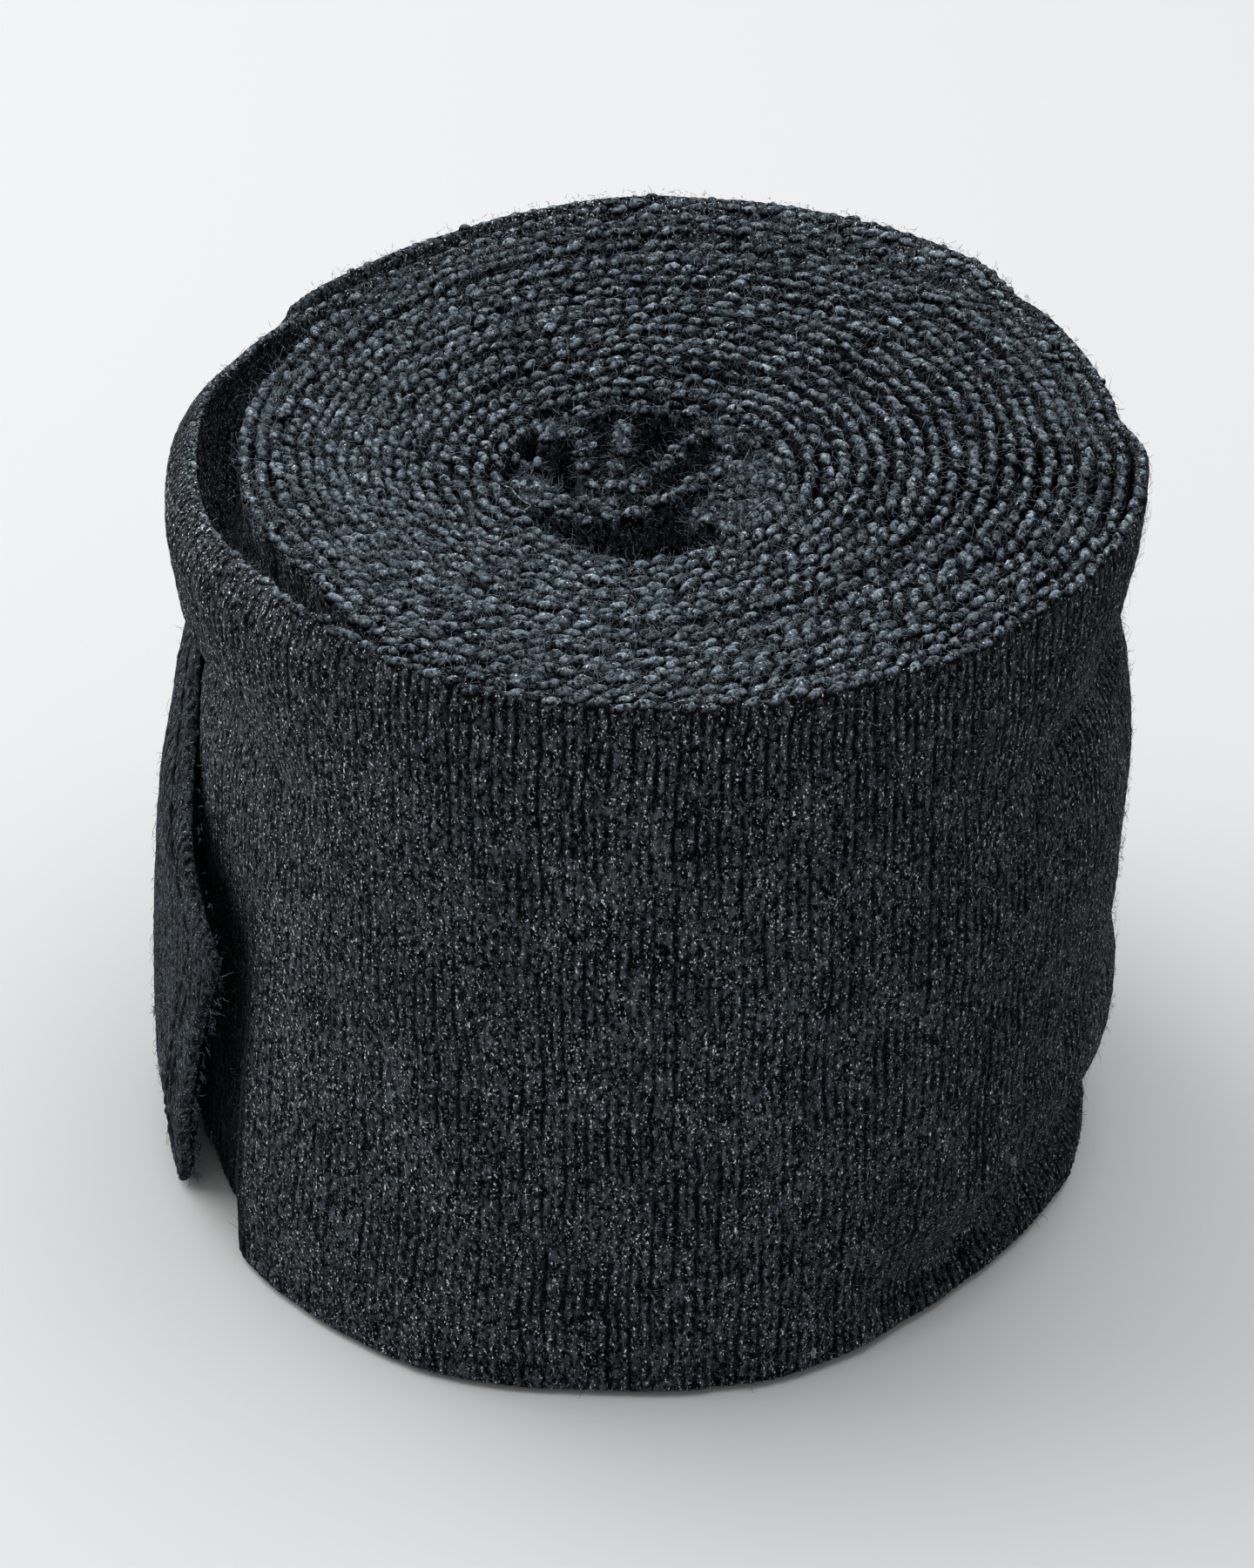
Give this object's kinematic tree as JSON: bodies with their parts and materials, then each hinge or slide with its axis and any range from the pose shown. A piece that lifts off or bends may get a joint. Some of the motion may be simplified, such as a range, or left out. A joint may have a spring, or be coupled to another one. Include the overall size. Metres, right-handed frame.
{
  "type": "hand wrap",
  "caption": "Rolled knitted hand wrap standing on its edge, with a thumb loop folded into the core and a pointed hook-and-loop closure tab that peels and unwinds.",
  "frame": {"origin": "centre of the bounding box of the rolled wrap, on the plane it stands on", "axes": "+Z is the axis of the roll, upwards; -Y is the side that faces the viewer; +X is the viewer's right; the closure tab lies at -X"},
  "size_m": [0.06, 0.0578, 0.05],
  "materials": {
    "knit": "charcoal ribbed elastic knit, chunky looped selvedge, slightly fuzzy",
    "hook_tape": "black nylon hook tape",
    "loop_tape": "black brushed loop tape",
    "thread": "black polyester sewing thread"
  },
  "bodies": {
    "roll_outer": {"strip_outer_turns": "knit", "loop_patch": "loop_tape", "loop_patch_stitching": "thread"},
    "roll_section_6": {"strip_section_6": "knit"},
    "roll_section_5": {"strip_section_5": "knit"},
    "roll_section_4": {"strip_section_4": "knit"},
    "roll_section_3": {"strip_section_3": "knit"},
    "roll_section_2": {"strip_section_2": "knit"},
    "roll_core": {"strip_section_1": "knit", "strip_folded_end": "knit", "thumb_loop": "knit", "thumb_loop_folded_end": "knit", "thumb_loop_bar_tack": "thread"},
    "tail_1": {"strip_tail_1": "knit"},
    "tail_2": {"strip_tail_2": "knit"},
    "tail_3": {"strip_tail_3": "knit"},
    "tail_4": {"strip_tail_4": "knit"},
    "tail_5": {"strip_tail_5": "knit"},
    "tail_6": {"strip_tail_6": "knit"},
    "tail_7": {"strip_tail_7": "knit"},
    "tab_1": {"strip_tab_1": "knit", "hook_patch_1": "hook_tape", "hook_stitching_1": "thread"},
    "tab_2": {"strip_tab_2": "knit", "hook_patch_2": "hook_tape", "hook_stitching_2": "thread"},
    "tab_3": {"strip_tab_3": "knit", "hook_patch_3": "hook_tape", "hook_stitching_3": "thread"}
  },
  "joints": [
    {"name": "core_push_1", "type": "slide", "parent": "roll_outer", "child": "roll_section_6", "axis": [0, 0, 1], "range_m": [0, 0.004]},
    {"name": "core_push_2", "type": "slide", "parent": "roll_section_6", "child": "roll_section_5", "axis": [0, 0, 1], "range_m": [0, 0.004]},
    {"name": "core_push_3", "type": "slide", "parent": "roll_section_5", "child": "roll_section_4", "axis": [0, 0, 1], "range_m": [0, 0.004]},
    {"name": "core_push_4", "type": "slide", "parent": "roll_section_4", "child": "roll_section_3", "axis": [0, 0, 1], "range_m": [0, 0.004]},
    {"name": "core_push_5", "type": "slide", "parent": "roll_section_3", "child": "roll_section_2", "axis": [0, 0, 1], "range_m": [0, 0.004]},
    {"name": "core_push_6", "type": "slide", "parent": "roll_section_2", "child": "roll_core", "axis": [0, 0, 1], "range_m": [0, 0.004]},
    {"name": "tail_unwind_1", "type": "hinge", "parent": "roll_outer", "child": "tail_1", "pos_m": [0.02964, -0.00466, 0.025], "axis": [0, 0, -1], "range_deg": [0, 22]},
    {"name": "tail_unwind_2", "type": "hinge", "parent": "tail_1", "child": "tail_2", "pos_m": [0.02931, 0.00605, 0.025], "axis": [0, 0, -1], "range_deg": [0, 22]},
    {"name": "tail_unwind_3", "type": "hinge", "parent": "tail_2", "child": "tail_3", "pos_m": [0.02509, 0.01592, 0.025], "axis": [0, 0, -1], "range_deg": [0, 22]},
    {"name": "tail_unwind_4", "type": "hinge", "parent": "tail_3", "child": "tail_4", "pos_m": [0.01755, 0.02358, 0.025], "axis": [0, 0, -1], "range_deg": [0, 22]},
    {"name": "tail_unwind_5", "type": "hinge", "parent": "tail_4", "child": "tail_5", "pos_m": [0.00729, 0.02809, 0.025], "axis": [0, 0, -1], "range_deg": [0, 22]},
    {"name": "tail_unwind_6", "type": "hinge", "parent": "tail_5", "child": "tail_6", "pos_m": [-0.00439, 0.02863, 0.025], "axis": [0, 0, -1], "range_deg": [0, 22]},
    {"name": "tail_unwind_7", "type": "hinge", "parent": "tail_6", "child": "tail_7", "pos_m": [-0.01528, 0.02492, 0.025], "axis": [0, 0, -1], "range_deg": [0, 22]},
    {"name": "tab_peel_1", "type": "hinge", "parent": "tail_7", "child": "tab_1", "pos_m": [-0.02311, 0.01838, 0.025], "axis": [0, 0, -1], "range_deg": [0, 32]},
    {"name": "tab_peel_2", "type": "hinge", "parent": "tab_1", "child": "tab_2", "pos_m": [-0.02858, 0.00782, 0.025], "axis": [0, 0, -1], "range_deg": [0, 32]},
    {"name": "tab_peel_3", "type": "hinge", "parent": "tab_2", "child": "tab_3", "pos_m": [-0.0294, -0.00406, 0.025], "axis": [0, 0, -1], "range_deg": [0, 32]}
  ],
  "couplings": [
    {"joint": "core_push_2", "follows": "core_push_1", "ratio": 1},
    {"joint": "core_push_3", "follows": "core_push_1", "ratio": 1},
    {"joint": "core_push_4", "follows": "core_push_1", "ratio": 1},
    {"joint": "core_push_5", "follows": "core_push_1", "ratio": 1},
    {"joint": "core_push_6", "follows": "core_push_1", "ratio": 1},
    {"joint": "tail_unwind_2", "follows": "tail_unwind_1", "ratio": 1},
    {"joint": "tail_unwind_3", "follows": "tail_unwind_1", "ratio": 1},
    {"joint": "tail_unwind_4", "follows": "tail_unwind_1", "ratio": 1},
    {"joint": "tail_unwind_5", "follows": "tail_unwind_1", "ratio": 1},
    {"joint": "tail_unwind_6", "follows": "tail_unwind_1", "ratio": 1},
    {"joint": "tail_unwind_7", "follows": "tail_unwind_1", "ratio": 1},
    {"joint": "tab_peel_2", "follows": "tab_peel_1", "ratio": 1},
    {"joint": "tab_peel_3", "follows": "tab_peel_1", "ratio": 1}
  ]
}
